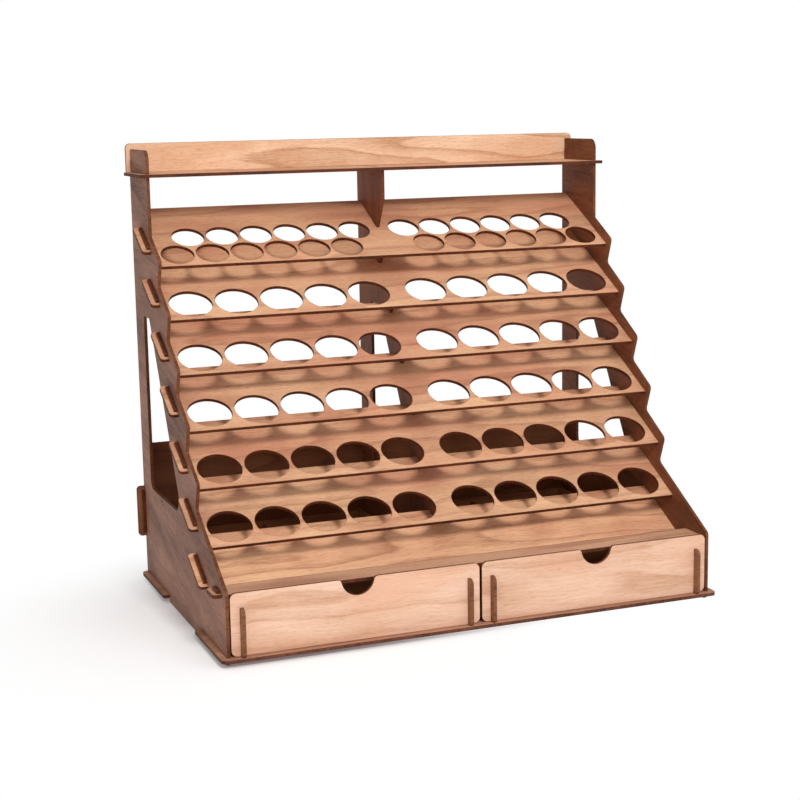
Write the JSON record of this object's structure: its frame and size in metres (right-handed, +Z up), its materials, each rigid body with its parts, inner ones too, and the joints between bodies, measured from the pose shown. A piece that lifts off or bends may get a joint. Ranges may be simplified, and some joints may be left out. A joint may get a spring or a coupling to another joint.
{
  "type": "hobby workstation organizer",
  "caption": "Stepped plywood rack with rows of round holes for paint pots and dropper bottles, a top shelf with a rear rail, and drawers below.",
  "frame": {"origin": "middle of the footprint, on the surface that the feet stand on", "axes": "+X to the right when facing the drawers, +Y from the drawers to the back, +Z up"},
  "size_m": [0.4026, 0.251, 0.3592],
  "materials": {
    "stained_plywood": "matt stained birch plywood with burnt laser cut edges",
    "dark_stained_plywood": "matt stained birch plywood, darker, with burnt laser cut edges",
    "pale_stained_plywood": "matt lightly stained birch plywood with burnt laser cut edges"
  },
  "bodies": {
    "rack": {"base_plate": "stained_plywood", "side_panel_left": "dark_stained_plywood", "side_panel_right": "dark_stained_plywood", "centre_divider": "dark_stained_plywood", "back_panel": "stained_plywood", "tier_board_1": "stained_plywood", "tier_board_2": "stained_plywood", "tier_board_3": "stained_plywood", "tier_board_4": "stained_plywood", "tier_board_5": "stained_plywood", "tier_board_6": "stained_plywood", "work_board": "stained_plywood", "drawer_bay_ledge": "stained_plywood", "top_shelf": "stained_plywood", "top_rail": "stained_plywood", "keys_left": "stained_plywood", "keys_right": "stained_plywood"},
    "left_drawer": {"left_drawer_face": "pale_stained_plywood", "left_drawer_inner_side": "stained_plywood", "left_drawer_outer_side": "stained_plywood", "left_drawer_floor": "stained_plywood", "left_drawer_back": "stained_plywood", "left_drawer_cross_partition": "stained_plywood", "left_drawer_long_partition": "stained_plywood"},
    "right_drawer": {"right_drawer_face": "pale_stained_plywood", "right_drawer_inner_side": "stained_plywood", "right_drawer_outer_side": "stained_plywood", "right_drawer_floor": "stained_plywood", "right_drawer_back": "stained_plywood", "right_drawer_cross_partition": "stained_plywood", "right_drawer_long_partition": "stained_plywood"}
  },
  "joints": [
    {"name": "left_drawer_slide", "type": "slide", "parent": "rack", "child": "left_drawer", "axis": [0, -1, 0], "range_m": [0, 0.15]},
    {"name": "right_drawer_slide", "type": "slide", "parent": "rack", "child": "right_drawer", "axis": [0, -1, 0], "range_m": [0, 0.15]}
  ]
}
